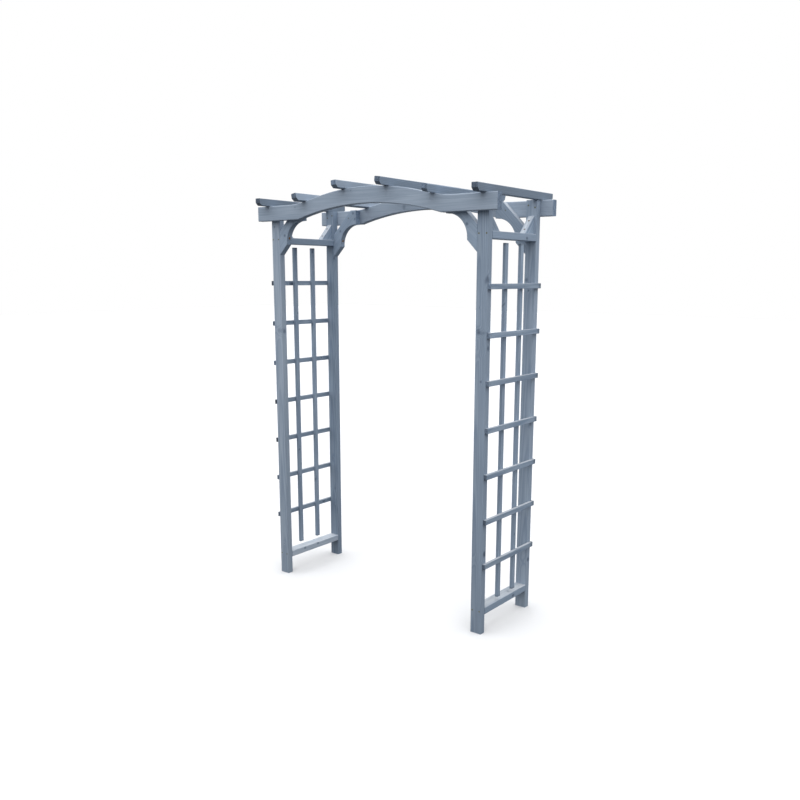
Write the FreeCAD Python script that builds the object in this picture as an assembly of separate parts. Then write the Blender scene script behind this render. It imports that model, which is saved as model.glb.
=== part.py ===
import FreeCAD, Part
import math
import os

# Garden arbor of planed softwood: two lattice sides joined by two arched beams that carry six rafters.
# Lengths are in millimetres. X runs across the walkway, Y from front to back and Z up.
# The origin is on the ground, at the middle of the footprint.

# Frame, over the outer faces of the posts
frame_width = 1360.0
frame_depth = 440.0

# Posts
post_width = 59.0
post_depth = 33.0
post_height = 2008.0
post_arris = 3.0

# Arched beams on the front and back faces of the posts, level with the post tops at their ends
beam_overhang = 64.0
beam_height = 74.0
beam_thickness = 34.0
beam_arris = 4.0

# Arch of the beams: rise and arcs of its upper edge, rise of its lower edge, and gap to the brace tips
arch_rise = 64.0
crown_radius = 1500.0
shoulder_radius = 720.0
hollow_rise = 60.0
arch_margin = 5.0

# Rafters, laid across both beams and tilted with their slope
rafter_count = 6
rafter_width = 32.0
rafter_height = 36.0
rafter_overhang = 65.0
rafter_chamfer = 14.0
rafter_arris = 3.0
end_rafter_inset = 9.0

# Knee braces between posts and beams, cut from a board set at 45 degrees, as thick as the posts are deep
brace_board_width = 83.0
brace_reach = 169.0
brace_end_height = 77.0
scoop_radius = 107.0
scoop_margin = 9.0

# Rails that join the two posts of a side, of the same timber as the posts, laid flat
upper_rail_drop = 156.0
bottom_rail_top = 123.0
rail_arris = 2.5

# Corner gussets on the upper rails
gusset_length = 79.0
gusset_height = 84.0
gusset_thickness = 32.0

# Lattice laths: level ones on the posts' outer faces, upright ones on their inner side
lath_width = 24.0
lath_thickness = 15.0
level_lath_count = 7
lowest_lath_gap = 200.0
highest_lath_gap = 192.5
upright_lath_count = 2
upright_gap_above = 15.0
upright_gap_below = 19.0

# Places that follow from the sizes above
post_outer_x = frame_width / 2
post_inner_x = post_outer_x - post_width
post_middle_x = post_outer_x - post_width / 2
post_far_y = frame_depth / 2
post_near_y = post_far_y - post_depth
beam_bottom = post_height - beam_height
beam_end_x = post_outer_x + beam_overhang
brace_tip_x = post_inner_x - brace_reach
arch_half_span = brace_tip_x - arch_margin
upper_rail_top = post_height - upper_rail_drop
upper_rail_bottom = upper_rail_top - post_depth
rafter_end_y = post_far_y + beam_thickness + rafter_overhang

# Half lengths of a beam's top, from the middle to the end of the crown arc and of the shoulder arc
radii = crown_radius + shoulder_radius
shoulder_end = math.sqrt(2 * radii * arch_rise - arch_rise ** 2)
crown_end = shoulder_end * crown_radius / radii

X_AXIS = FreeCAD.Vector(1, 0, 0)
Y_AXIS = FreeCAD.Vector(0, 1, 0)
Z_AXIS = FreeCAD.Vector(0, 0, 1)
MIDDLE = FreeCAD.Vector(0, 0, 0)


def point(x, y, z):
    return FreeCAD.Vector(x, y, z)


def line(start, end):
    return Part.LineSegment(start, end).toShape()


def arc(start, middle, end):
    return Part.Arc(start, middle, end).toShape()


def timber(x_range, y_range, z_range):
    """A rectangular timber that fills the three ranges."""
    low = point(x_range[0], y_range[0], z_range[0])
    sizes = [high - low_end for low_end, high in (x_range, y_range, z_range)]
    return Part.makeBox(*sizes, low)


def prism(edges, push):
    """The solid that a closed flat outline sweeps when it is pushed along a vector."""
    return Part.Face(Part.Wire(edges)).extrude(push)


def eased(solid, radius, axis):
    """The solid with its straight arrises along the axis rounded off."""
    arrises = []
    for edge in solid.Edges:
        run = edge.lastVertex().Point - edge.firstVertex().Point
        if run.Length > 0 and abs(run.normalize().dot(axis)) > 0.9999:
            arrises.append(edge)
    return solid.makeFillet(radius, arrises)


def post():
    """Back right post, which stands on the ground and stops level with the straight ends of the beams."""
    solid = timber((post_inner_x, post_outer_x), (post_near_y, post_far_y), (0, post_height))
    return eased(solid, post_arris, Z_AXIS)


def beam_top(x):
    """Height of a beam's top at x, and its slope there in radians, upwards to the right."""
    reach = abs(x)
    if reach <= crown_end:
        turn = math.asin(reach / crown_radius)
        height = post_height + arch_rise - crown_radius * (1 - math.cos(turn))
    elif reach < shoulder_end:
        turn = math.asin((shoulder_end - reach) / shoulder_radius)
        height = post_height + shoulder_radius * (1 - math.cos(turn))
    else:
        turn = 0.0
        height = post_height
    return height, -math.copysign(turn, x)


def beam_outline():
    """Outline of the back beam: crown arc between two hollow shoulders above, and one arc below."""
    shoulder_middle = (crown_end + shoulder_end) / 2

    def top(x):
        return point(x, post_far_y, beam_top(x)[0])

    def bottom(x, rise=0.0):
        return point(x, post_far_y, beam_bottom + rise)

    return [
        line(bottom(-beam_end_x), top(-beam_end_x)),
        line(top(-beam_end_x), top(-shoulder_end)),
        arc(top(-shoulder_end), top(-shoulder_middle), top(-crown_end)),
        arc(top(-crown_end), top(0), top(crown_end)),
        arc(top(crown_end), top(shoulder_middle), top(shoulder_end)),
        line(top(shoulder_end), top(beam_end_x)),
        line(top(beam_end_x), bottom(beam_end_x)),
        line(bottom(beam_end_x), bottom(arch_half_span)),
        arc(bottom(arch_half_span), bottom(0, hollow_rise), bottom(-arch_half_span)),
        line(bottom(-arch_half_span), bottom(-beam_end_x)),
    ]


def beam():
    """Back beam, on the back faces of the posts, with its long arrises rounded off."""
    solid = prism(beam_outline(), point(0, beam_thickness, 0))
    arrises = []
    for edge in solid.Edges:
        if edge.BoundBox.YLength < 0.001 and edge.BoundBox.XLength > 0.001:
            arrises.append(edge)
    return solid.makeFillet(beam_arris, arrises)


def rafter(x):
    """Rafter that rests on both beams at x, square to their slope, with its ends chamfered below."""
    side = -rafter_width / 2
    corners = [
        point(side, -rafter_end_y, rafter_height),
        point(side, -rafter_end_y, rafter_chamfer),
        point(side, -rafter_end_y + rafter_chamfer, 0),
        point(side, rafter_end_y - rafter_chamfer, 0),
        point(side, rafter_end_y, rafter_chamfer),
        point(side, rafter_end_y, rafter_height),
    ]
    outline = [line(start, stop) for start, stop in zip(corners, corners[1:] + corners[:1])]
    solid = eased(prism(outline, point(rafter_width, 0, 0)), rafter_arris, Y_AXIS)
    height, slope = beam_top(x)
    solid.rotate(MIDDLE, Y_AXIS, -math.degrees(slope))
    solid.translate(point(x, 0, height + seat_lift(x)))
    return solid


def seat_lift(x):
    """Height of a rafter's flat underside over a hollow shoulder, where only its two edges touch."""
    if not crown_end < abs(x) < shoulder_end:
        return 0.0
    seat = rafter_width / 2 - rafter_arris
    return shoulder_radius - math.sqrt(shoulder_radius ** 2 - seat ** 2)


def brace():
    """Back right knee brace: upright cuts at both ends, level top, and a round scoop in its lower edge."""
    top = post_height
    ledge = top - brace_end_height
    foot = ledge - brace_reach
    shoulder = foot + brace_board_width * math.sqrt(2)
    top_x = post_inner_x - (top - shoulder)
    centre_x = brace_tip_x + scoop_margin
    centre_z = ledge - scoop_radius
    heel_x = centre_x + scoop_radius
    diagonal = scoop_radius / math.sqrt(2)

    def at(x, z):
        return point(x, post_far_y, z)

    outline = [
        line(at(post_inner_x, foot), at(post_inner_x, shoulder)),
        line(at(post_inner_x, shoulder), at(top_x, top)),
        line(at(top_x, top), at(brace_tip_x, top)),
        line(at(brace_tip_x, top), at(brace_tip_x, ledge)),
        line(at(brace_tip_x, ledge), at(centre_x, ledge)),
        arc(at(centre_x, ledge), at(centre_x + diagonal, centre_z + diagonal), at(heel_x, centre_z)),
        line(at(heel_x, centre_z), at(heel_x, centre_z - scoop_margin)),
        line(at(heel_x, centre_z - scoop_margin), at(post_inner_x, foot)),
    ]
    return prism(outline, point(0, -post_depth, 0))


def rail(top):
    """Right rail between the inner faces of the two posts."""
    solid = timber((post_inner_x, post_outer_x), (-post_near_y, post_near_y), (top - post_depth, top))
    return eased(solid, rail_arris, Y_AXIS)


def gusset():
    """Back right gusset: a triangular block in the corner of the upper rail and the post."""
    side = post_middle_x - gusset_thickness / 2
    corner = point(side, post_near_y, upper_rail_top)
    low = point(side, post_near_y - gusset_length, upper_rail_top)
    high = point(side, post_near_y, upper_rail_top + gusset_height)
    outline = [line(corner, high), line(high, low), line(low, corner)]
    return prism(outline, point(gusset_thickness, 0, 0))


def spread(low, high, width, count):
    """Low ends of pieces that are that wide, spaced evenly with the first at low and the last up to high."""
    pitch = (high - low - width) / (count - 1)
    return [low + number * pitch for number in range(count)]


def lattice():
    """Right lattice: level laths across the posts' outer faces, with upright laths on their inner side."""
    lowest = bottom_rail_top + lowest_lath_gap
    highest = upper_rail_bottom - highest_lath_gap
    laths = []
    for bottom in spread(lowest, highest, lath_width, level_lath_count):
        x_range = (post_outer_x, post_outer_x + lath_thickness)
        laths.append(timber(x_range, (-post_far_y, post_far_y), (bottom, bottom + lath_width)))
    gap = (2 * post_near_y - upright_lath_count * lath_width) / (upright_lath_count + 1)
    for near in spread(gap - post_near_y, post_near_y - gap, lath_width, upright_lath_count):
        x_range = (post_outer_x - lath_thickness, post_outer_x)
        z_range = (bottom_rail_top + upright_gap_below, upper_rail_bottom - upright_gap_above)
        laths.append(timber(x_range, (near, near + lath_width), z_range))
    return laths[0].multiFuse(laths[1:])


def to_front(solid):
    return solid.mirror(MIDDLE, Y_AXIS)


def to_left(solid):
    return solid.mirror(MIDDLE, X_AXIS)


def corner_nodes(name, solid):
    """The piece at the back right corner and its mirror images at the other three."""
    return {
        f"{name}_back_right": solid,
        f"{name}_back_left": to_left(solid),
        f"{name}_front_right": to_front(solid),
        f"{name}_front_left": to_front(to_left(solid)),
    }


def side_nodes(name, solid):
    """The piece on the right side and its mirror image on the left."""
    return {f"{name}_right": solid, f"{name}_left": to_left(solid)}


def build():
    """All pieces of the arbor by name."""
    pieces = {"beam_back": beam(), "beam_front": to_front(beam())}
    pieces.update(corner_nodes("post", post()))
    pieces.update(corner_nodes("brace", brace()))
    pieces.update(corner_nodes("gusset", gusset()))
    pieces.update(side_nodes("upper_rail", rail(upper_rail_top)))
    pieces.update(side_nodes("bottom_rail", rail(bottom_rail_top)))
    pieces.update(side_nodes("lattice", lattice()))
    rafter_reach = post_outer_x - end_rafter_inset
    pitch = 2 * rafter_reach / (rafter_count - 1)
    for number in range(rafter_count):
        pieces[f"rafter_{number + 1}"] = rafter(number * pitch - rafter_reach)
    return pieces


os.makedirs("parts", exist_ok=True)
for name, solid in build().items():
    solid.exportStep(os.path.join("parts", name + ".step"))
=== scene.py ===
"""The look of a garden arbor of blue-grey stained softwood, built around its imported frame.

Lengths are in metres unless a name ends in _mm. X runs across the walkway, Y from front to
back and Z up.
"""

import logging
import math
import random
from collections.abc import Iterator, Sequence
from dataclasses import dataclass, field, replace
from enum import Enum
from itertools import product
from typing import Any

import bmesh
import bpy
from mathutils import Matrix, Vector


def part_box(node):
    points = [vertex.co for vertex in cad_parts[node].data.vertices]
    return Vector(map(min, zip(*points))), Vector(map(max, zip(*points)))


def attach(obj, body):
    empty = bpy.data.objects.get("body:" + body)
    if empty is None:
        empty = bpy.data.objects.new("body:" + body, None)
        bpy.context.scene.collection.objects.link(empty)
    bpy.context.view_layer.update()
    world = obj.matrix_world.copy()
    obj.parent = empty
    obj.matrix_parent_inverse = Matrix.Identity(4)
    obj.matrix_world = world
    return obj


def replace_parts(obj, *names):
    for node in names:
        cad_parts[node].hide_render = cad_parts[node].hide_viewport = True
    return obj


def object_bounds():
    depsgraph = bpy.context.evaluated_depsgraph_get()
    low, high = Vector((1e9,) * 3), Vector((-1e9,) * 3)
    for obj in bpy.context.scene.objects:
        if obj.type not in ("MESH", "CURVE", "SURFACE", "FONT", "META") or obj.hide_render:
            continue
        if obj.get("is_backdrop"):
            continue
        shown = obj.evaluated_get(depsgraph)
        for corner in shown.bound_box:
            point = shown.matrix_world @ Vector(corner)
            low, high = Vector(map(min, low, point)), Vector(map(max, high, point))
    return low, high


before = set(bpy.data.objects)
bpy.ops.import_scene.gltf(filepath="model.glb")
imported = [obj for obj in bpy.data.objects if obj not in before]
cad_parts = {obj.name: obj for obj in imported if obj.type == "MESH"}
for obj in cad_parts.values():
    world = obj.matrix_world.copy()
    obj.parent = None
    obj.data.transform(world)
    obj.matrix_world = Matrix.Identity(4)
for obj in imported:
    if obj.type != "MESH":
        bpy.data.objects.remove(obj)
cad_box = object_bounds()
log = logging.getLogger("arbor")

BODY = "root"
RAFTERS = tuple(f"rafter_{number}" for number in range(1, 7))
ACROSS = Vector((1.0, 0.0, 0.0))
BACKWARDS = Vector((0.0, 1.0, 0.0))
UP = Vector((0.0, 0.0, 1.0))
WHITE_HEX = "#FFFFFF"

Tree = bpy.types.NodeTree
Socket = bpy.types.NodeSocket


class Half(Enum):
    """The two halves of the arbor along one axis, each with the sign of its coordinates."""

    @property
    def word(self) -> str:
        """The half as node names have it."""
        return self.name.lower()


class Side(Half):
    """The two sides of the walkway, each with the sign of its X."""

    LEFT = -1
    RIGHT = 1


class End(Half):
    """The two ends of the walkway, each with the sign of its Y."""

    FRONT = -1
    BACK = 1


# The four corners of the arbor, left before right and front before back.
CORNERS = tuple(product(Side, End))


def spread(low: float, high: float, half: Half) -> tuple[float, float]:
    """Sorts two coordinates into the one nearer the middle of the arbor and the one farther off."""
    return (low, high) if half.value > 0 else (high, low)


def mm(value: float) -> float:
    """Turns millimetres into metres."""
    return value / 1000.0


def linear(code: str) -> tuple[float, float, float, float]:
    """Turns an sRGB hex colour into a linear one.

    Args:
        code: the colour as #RRGGBB.

    Returns:
        Red, green, blue and alpha as a shader takes them.
    """
    shares = [int(code[place:place + 2], 16) / 255 for place in (1, 3, 5)]
    red, green, blue = (s / 12.92 if s <= 0.04045 else ((s + 0.055) / 1.055) ** 2.4 for s in shares)
    return red, green, blue, 1.0


def empty_tree(owner: bpy.types.Material | bpy.types.World) -> Tree:
    """Turns on the nodes of a material or world and clears them.

    Args:
        owner: the material or world.

    Returns:
        Its empty tree.
    """
    owner.use_nodes = True
    owner.node_tree.nodes.clear()
    return owner.node_tree


def add_node(
    tree: Tree, kind: str, inputs: dict[Any, Any] | None = None, **settings: Any
) -> bpy.types.Node:
    """Adds one node to a tree, with its settings, values and links.

    Args:
        tree: the tree that gets the node.
        kind: the node's class.
        inputs: for an input's name or number, either a value or the output to link there.
        settings: attributes of the node.

    Returns:
        The new node.
    """
    node = tree.nodes.new(kind)
    for name, value in settings.items():
        setattr(node, name, value)
    for place, value in (inputs or {}).items():
        if isinstance(value, Socket):
            tree.links.new(value, node.inputs[place])
        else:
            node.inputs[place].default_value = value
    return node


@dataclass(frozen=True)
class Knot:
    """A branch that the saw cut through, seen as a dark round spot in the grain.

    Attributes:
        place: a point on the timber's face where the knot shows.
        run: direction of the branch. One that leans along the timber leaves a long spot.
        radius_mm: radius of its dark core.
        depth: how dark the stain dried on it, from 0 to 1.
    """

    place: Vector
    run: Vector
    radius_mm: float
    depth: float = 0.6


@dataclass(frozen=True)
class Stock:
    """What all timbers of one kind share.

    Attributes:
        fibres: direction of the grain.
        broad: normal of the broad face.
        tone: how bright the stain dried on them, as a factor.
        figure: how strongly their rings show.
        soak: how bright their end grain dried, as a factor.
        fading: how far their upright faces and those that look up are faded by sun and rain and lightened
            with a painted sky sheen.
        bands_mm: how far along the faces the stain has spread from either cut end.
    """

    fibres: Vector
    broad: Vector
    tone: float = 1.0
    figure: float = 1.0
    soak: float = 1.0
    fading: tuple[float, float] = (0.0, 1.0)
    bands_mm: tuple[float, float] | None = None


@dataclass(frozen=True)
class Board:
    """One sawn timber as it lay in its tree.

    Attributes:
        stock: the kind of timber.
        heart: a point on the line that the growth rings run around.
        tone: how bright the stain dried on it, as a factor.
        knots: the branches that it holds.
        middle: its middle.
        length: its length.
    """

    stock: Stock
    heart: Vector
    tone: float
    knots: tuple[Knot, ...]
    middle: Vector
    length: float


@dataclass(frozen=True)
class Sawmill:
    """Cuts each board from its own place in its own tree, so that no two have the same grain.

    Attributes:
        nearest_heart_mm: least distance from the middle of a board to the heart of its tree.
        farthest_heart_mm: greatest such distance.
        aside_mm: how far the heart may lie beside the middle of the broad face.
        tone_spread: how much brighter or darker a board may be than the mean.
        knot_spacing_mm: mean length of board for each small knot.
        knot_radii_mm: smallest and largest radius of such a knot.
        knot_depths: how dark the stain dried on the palest and the darkest of them.
        knot_lean: greatest lean of its branch along the fibres, where 1 is 45 degrees.
        forest_mm: range along the fibres over which the boards are spread.
    """

    nearest_heart_mm: float = 24.0
    farthest_heart_mm: float = 70.0
    aside_mm: float = 22.0
    tone_spread: float = 0.04
    knot_spacing_mm: float = 900.0
    knot_radii_mm: tuple[float, float] = (1.5, 3.5)
    knot_depths: tuple[float, float] = (0.3, 0.6)
    knot_lean: float = 1.0
    forest_mm: float = 9000.0

    def board(
        self, name: str, box: tuple[Vector, Vector], stock: Stock, knots: Sequence[Knot] = ()
    ) -> Board:
        """Cuts one board.

        Args:
            name: the timber's name, which settles its grain.
            box: its lowest and highest corner.
            stock: the kind of timber.
            knots: the knots that are known, to which some small ones are added.

        Returns:
            The board.
        """
        dice = random.Random(name)
        fibres, broad = stock.fibres, stock.broad
        low, high = box
        middle = (low + high) / 2
        away = dice.uniform(self.nearest_heart_mm, self.farthest_heart_mm) * dice.choice((-1, 1))
        aside = dice.uniform(-self.aside_mm, self.aside_mm)
        along = dice.uniform(-self.forest_mm, self.forest_mm)
        heart = middle + broad * mm(away) + fibres.cross(broad) * mm(aside) + fibres * mm(along)
        tone = stock.tone * (1 + dice.uniform(-self.tone_spread, self.tone_spread))
        length = max(high - low)
        grown = list(knots)
        for _ in range(round(length / mm(self.knot_spacing_mm))):
            share = Vector(dice.random() for _ in range(3))
            place = low + Vector(share[axis] * (high[axis] - low[axis]) for axis in range(3))
            run = (broad + fibres * dice.uniform(-self.knot_lean, self.knot_lean)).normalized()
            radius_mm, depth = dice.uniform(*self.knot_radii_mm), dice.uniform(*self.knot_depths)
            grown.append(Knot(place, run, radius_mm, depth))
        return Board(stock, heart, tone, tuple(grown), middle, length)


@dataclass(frozen=True)
class Pattern:
    """What the finish of one board is drawn from, as outputs in the node tree of its material.

    Attributes:
        tree: the node tree.
        board: the board.
        place: place on the arbor.
        normal: normal of the surface.
        fibres: the fibre streaks, about 0.5.
        blotches: the patches of more stain or less, about 0.5.
        spots: the spots where a cut end drew in more stain or less, about 0.5.
        spans: distance from the branch of each knot, in its radii.
        late: the growth rings, 0 in spring wood and 1 in summer wood.
    """

    tree: Tree
    board: Board
    place: Socket
    normal: Socket
    fibres: Socket
    blotches: Socket
    spots: Socket
    spans: tuple[Socket, ...]
    late: Socket


@dataclass(frozen=True)
class StainedSoftwood:
    """Spruce, planed on a machine and brushed with one coat of thin blue-grey stain.

    The stain hides the yellow of the wood and leaves its rings, fibres and knots to be seen
    as quiet streaks. It soaks deeper into end grain and knots, which turn darker. Faces that
    look to the sky are drawn a paler grey, partly faded by sun and rain and partly a painted
    sky sheen. A painted shade darkens the timbers towards the ground, and cut ends that look
    down get a painted shade too. The stain's own sheen is low.

    Attributes:
        early_hex: stain on the soft wood of a ring, which grew in spring.
        late_hex: stain on the hard line of a ring, which grew in summer.
        knot_hex: stain on a knot.
        end_hex: stain on end grain.
        faded_hex: stain on a face that looks to the sky, faded by the weather and lightened with a painted
            sky sheen.
        ring_mm: width of a growth ring. Real ones are 2 to 3 mm, too fine for the picture's
            4 to 5 mm pixels, so they are drawn coarser.
        ring_stops: where in a ring the summer wood begins and where it is hardest, as shares.
        taper: how much a tree narrows for each unit of height, which draws rings into arches.
        waver_mm: how far the rings wander.
        waver_detail: how strong each finer layer of that wandering is against the one before.
        bulge: how far the rings bend out around a knot, in its radii.
        bulge_reach: how far from a knot they begin to bend, in its radii.
        knot_stops: where the core of a knot ends and where its collar does, in its radii.
        fibre_mm: width and length of a fibre streak, drawn coarser for the same reason.
        fibre_layers: how many finer layers the streaks have.
        fibre_depth: how much their brightness varies.
        blotch_mm: width and length of the patches where the brush left more stain or less.
        blotch_layers: how many finer layers the patches have.
        blotch_depth: how much their brightness varies.
        detail: how strong each finer layer of streaks and patches is against the one before.
        splash_tone: brightness of the painted shade at the ground, as a factor.
        splash_top_mm: height at which the painted shade towards the ground ends.
        band_tone: brightness of a face right at a cut end that drew the stain in, as a factor.
        sky_slopes: upward part of the normal where a face begins to fade and take the painted sky sheen, and
            where it has most of both.
        worn_stops: streak and patch added up, where the wear and painted sheen are least and most.
        worn_least: how much of the wear and painted sheen shows where they are least.
        cut_slopes: part of the normal along the fibres where end grain begins and is full.
        damp_slopes: upward part of the normal where a cut end has the full painted shade and where it has
            none.
        damp_tone: brightness of a cut end that looks down, a painted shade, as a factor.
        soak_spot_mm: size of the spots where a cut end drew in more stain or less.
        soak_spot_stops: value of their pattern where the ends are dullest and brightest.
        soak_spot_depth: how much their brightness varies.
        roughness: least and greatest roughness of the surface.
        ior: refractive index of the stain's resin.
        gloss: strength of its reflection, which the open pores weaken, where 0.5 is a closed film.
        relief_mm: depth of the grain that the plane and the weather left.
        relief: how strongly it shows.
        ring_relief: height of the summer wood as a share of that of the fibres.
    """

    early_hex: str = "#8D9DB0"
    late_hex: str = "#6E8098"
    knot_hex: str = "#435064"
    end_hex: str = "#76869A"
    faded_hex: str = "#A9AFB6"
    ring_mm: float = 6.0
    ring_stops: tuple[float, float] = (0.3, 0.82)
    taper: float = 0.014
    waver_mm: float = 6.0
    waver_detail: float = 0.5
    bulge: float = 1.4
    bulge_reach: float = 4.5
    knot_stops: tuple[float, float] = (0.4, 2.1)
    fibre_mm: tuple[float, float] = (4.0, 210.0)
    fibre_layers: float = 3.0
    fibre_depth: float = 0.55
    blotch_mm: tuple[float, float] = (60.0, 420.0)
    blotch_layers: float = 2.0
    blotch_depth: float = 0.3
    detail: float = 0.55
    splash_tone: float = 0.78
    splash_top_mm: float = 1800.0
    band_tone: float = 0.6
    sky_slopes: tuple[float, float] = (0.25, 0.7)
    worn_stops: tuple[float, float] = (0.8, 1.1)
    worn_least: float = 0.45
    cut_slopes: tuple[float, float] = (0.4, 0.9)
    damp_slopes: tuple[float, float] = (-0.7, -0.2)
    damp_tone: float = 0.5
    soak_spot_mm: float = 11.0
    soak_spot_stops: tuple[float, float] = (0.35, 0.65)
    soak_spot_depth: float = 0.5
    roughness: tuple[float, float] = (0.62, 0.82)
    ior: float = 1.5
    gloss: float = 0.2
    relief_mm: float = 0.35
    relief: float = 0.6
    ring_relief: float = 0.4

    def material(self, name: str, board: Board) -> bpy.types.Material:
        """Makes the finish of one board.

        Args:
            name: name of the material.
            board: the board that it covers.

        Returns:
            The material.
        """
        made = bpy.data.materials.new(name)
        pattern = self._pattern(empty_tree(made), board)
        colour = self._long_grain(pattern)
        for knot, span in zip(board.knots, pattern.spans):
            colour = self._knot(pattern.tree, colour, span, knot)
        colour = self._end_grain(pattern, colour)
        inputs = {0: colour, "Scale": self._shade(pattern)}
        colour = add_node(pattern.tree, "ShaderNodeVectorMath", inputs, operation="SCALE").outputs[0]
        self._surface(pattern, colour)
        return made

    def _pattern(self, tree: Tree, board: Board) -> Pattern:
        """Adds what the finish of a board is drawn from.

        Args:
            tree: the material's empty node tree.
            board: the board.

        Returns:
            The outputs to draw from.
        """
        coordinates = add_node(tree, "ShaderNodeTexCoord").outputs
        place = coordinates["Object"]
        grown = self._grown(tree, place, board)
        spans = tuple(self._span(tree, place, knot) for knot in board.knots)
        spot_mm = (self.soak_spot_mm, self.soak_spot_mm)
        return Pattern(
            tree=tree,
            board=board,
            place=place,
            normal=coordinates["Normal"],
            fibres=self._streaks(tree, grown, self.fibre_mm, self.fibre_layers, self.detail)[0],
            blotches=self._streaks(tree, grown, self.blotch_mm, self.blotch_layers, self.detail)[0],
            spots=self._streaks(tree, grown, spot_mm, self.blotch_layers, self.detail)[0],
            spans=spans,
            late=self._rings(tree, self._radius(tree, grown, board.knots, spans)),
        )

    def _grown(self, tree: Tree, place: Socket, board: Board) -> Socket:
        """Turns places on the arbor into places in the trunk that the board was sawn from.

        Args:
            tree: the material's node tree.
            place: place on the arbor.
            board: the board.

        Returns:
            Place in the trunk, with X along its heart and Y and Z away from it.
        """
        fibres = board.stock.fibres
        side = fibres.orthogonal().normalized()
        axes = Matrix((fibres, side, fibres.cross(side))).transposed()
        inputs = {"Vector": place, "Location": board.heart, "Rotation": axes.to_euler()}
        return add_node(tree, "ShaderNodeMapping", inputs, vector_type="TEXTURE").outputs[0]

    def _streaks(
        self, tree: Tree, grown: Socket, size_mm: tuple[float, float], layers: float, detail: float
    ) -> Sequence[Socket]:
        """Adds soft random streaks that run along the fibres.

        Args:
            tree: the material's node tree.
            grown: place in the trunk.
            size_mm: width and length of a streak.
            layers: how many finer layers they have.
            detail: how strong each finer layer is against the one before.

        Returns:
            One value about 0.5, and three others as a colour.
        """
        width, length = (mm(size) for size in size_mm)
        inputs = {0: grown, 1: (1 / length, 1 / width, 1 / width)}
        drawn = add_node(tree, "ShaderNodeVectorMath", inputs, operation="MULTIPLY")
        inputs = {"Vector": drawn.outputs[0], "Scale": 1.0, "Detail": layers, "Roughness": detail}
        return add_node(tree, "ShaderNodeTexNoise", inputs).outputs

    def _span(self, tree: Tree, place: Socket, knot: Knot) -> Socket:
        """Adds the distance from the branch of a knot.

        Args:
            tree: the material's node tree.
            place: place on the arbor.
            knot: the knot.

        Returns:
            The distance in radii of the knot.
        """
        off = add_node(tree, "ShaderNodeVectorMath", {0: place, 1: knot.place}, operation="SUBTRACT")
        inputs = {0: off.outputs[0], 1: knot.run / mm(knot.radius_mm)}
        across = add_node(tree, "ShaderNodeVectorMath", inputs, operation="CROSS_PRODUCT")
        span = add_node(tree, "ShaderNodeVectorMath", {0: across.outputs[0]}, operation="LENGTH")
        return span.outputs["Value"]

    def _radius(self, tree: Tree, grown: Socket, knots: Sequence[Knot], spans: Sequence[Socket]) -> Socket:
        """Adds the distance from the heart, as a trunk grows that wavers, tapers and has branches.

        Args:
            tree: the material's node tree.
            grown: place in the trunk.
            knots: the board's knots.
            spans: distance from each knot.

        Returns:
            The distance.
        """
        waver = self._streaks(tree, grown, self.blotch_mm, self.blotch_layers, self.waver_detail)
        sway = 2 * mm(self.waver_mm)
        inputs = {0: waver[1], 1: (sway, sway, sway), 2: grown}
        moved = add_node(tree, "ShaderNodeVectorMath", inputs, operation="MULTIPLY_ADD")
        inputs = {0: moved.outputs[0], 1: (0.0, 1.0, 1.0)}
        flat = add_node(tree, "ShaderNodeVectorMath", inputs, operation="MULTIPLY")
        reach = add_node(tree, "ShaderNodeVectorMath", {0: flat.outputs[0]}, operation="LENGTH")
        height = add_node(tree, "ShaderNodeSeparateXYZ", {0: moved.outputs[0]})
        inputs = {0: height.outputs[0], 1: self.taper, 2: reach.outputs["Value"]}
        radius = add_node(tree, "ShaderNodeMath", inputs, operation="MULTIPLY_ADD").outputs[0]
        for knot, span in zip(knots, spans):
            inputs = {"Value": span, "From Max": self.bulge_reach}
            inputs |= {"To Min": mm(knot.radius_mm) * self.bulge, "To Max": 0.0}
            swell = add_node(tree, "ShaderNodeMapRange", inputs, interpolation_type="SMOOTHSTEP")
            inputs = {0: radius, 1: swell.outputs[0]}
            radius = add_node(tree, "ShaderNodeMath", inputs, operation="ADD").outputs[0]
        return radius

    def _rings(self, tree: Tree, radius: Socket) -> Socket:
        """Adds the growth rings.

        Args:
            tree: the material's node tree.
            radius: distance from the heart.

        Returns:
            0 in spring wood and 1 in summer wood.
        """
        count = add_node(tree, "ShaderNodeMath", {0: radius, 1: mm(self.ring_mm)}, operation="DIVIDE")
        share = add_node(tree, "ShaderNodeMath", {0: count.outputs[0]}, operation="FRACT")
        ramp = add_node(tree, "ShaderNodeValToRGB", {0: share.outputs[0]})
        stops = ramp.color_ramp.elements
        stops[0].position, stops[1].position = self.ring_stops
        stops.new(1.0).color = (0.0, 0.0, 0.0, 1.0)
        stops[1].color = (1.0, 1.0, 1.0, 1.0)
        return ramp.outputs[0]

    def _long_grain(self, pattern: Pattern) -> Socket:
        """Mixes the stain on the long grain, fresh, or faded and lightened with a painted sky sheen.

        Args:
            pattern: what it is drawn from.

        Returns:
            The colour.
        """
        tree = pattern.tree
        inputs = {0: pattern.fibres, 1: pattern.late}
        lined = add_node(tree, "ShaderNodeMath", inputs, operation="MULTIPLY")
        inputs = {0: lined.outputs[0], 1: pattern.board.stock.figure}
        shown = add_node(tree, "ShaderNodeMath", inputs, operation="MULTIPLY")
        inputs = {0: shown.outputs[0], 6: linear(self.early_hex), 7: linear(self.late_hex)}
        fresh = add_node(tree, "ShaderNodeMix", inputs, data_type="RGBA")
        # Painted sky sheen: faces that look up are mixed towards a paler grey, which also stands for their
        # fade in the weather.
        inputs = {0: self._faded(pattern), 6: fresh.outputs[2], 7: linear(self.faded_hex)}
        return add_node(tree, "ShaderNodeMix", inputs, data_type="RGBA").outputs[2]

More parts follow.
